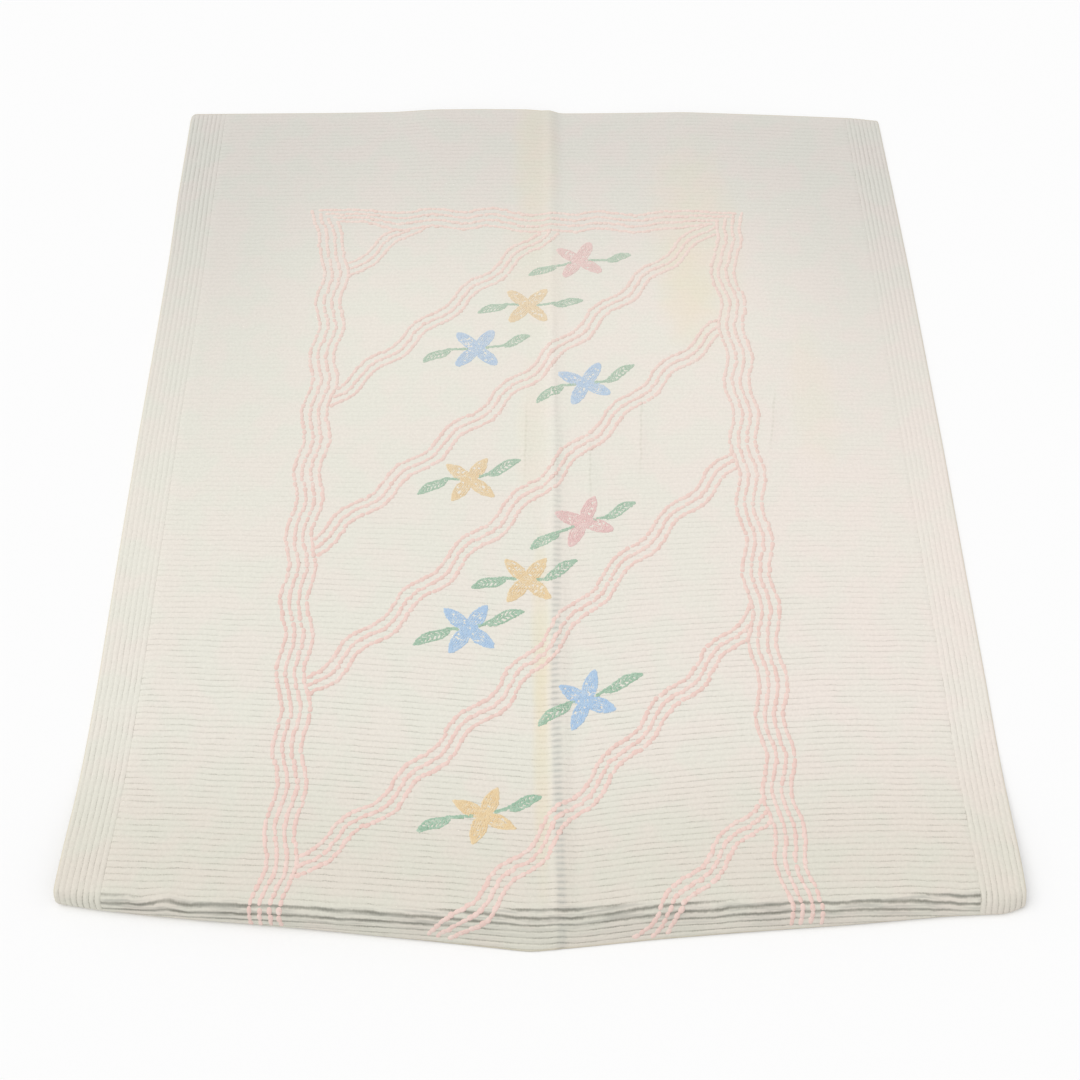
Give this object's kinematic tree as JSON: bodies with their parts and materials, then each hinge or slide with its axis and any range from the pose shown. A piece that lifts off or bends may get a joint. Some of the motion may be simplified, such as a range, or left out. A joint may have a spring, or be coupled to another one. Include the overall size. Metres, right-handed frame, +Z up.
{
  "type": "tufted coverlet",
  "caption": "Bed coverlet of cream tufted cotton with pile ribs, pastel flowers and wavy pink lines, laid flat with its near end pushed up in a low fold.",
  "frame": {"origin": "on the surface the coverlet lies on, under its underside, midway between the side edges and midway along them", "axes": "+Z up from the underside to the pile side, +Y along the length towards the flat far end, +X across to the right as seen with the pushed-up end nearest"},
  "size_m": [2.217, 2.704, 0.0705],
  "materials": {
    "tufted_cotton": "matte cotton pile in ribs"
  },
  "bodies": {
    "root": {"coverlet": "tufted_cotton"}
  },
  "joints": []
}
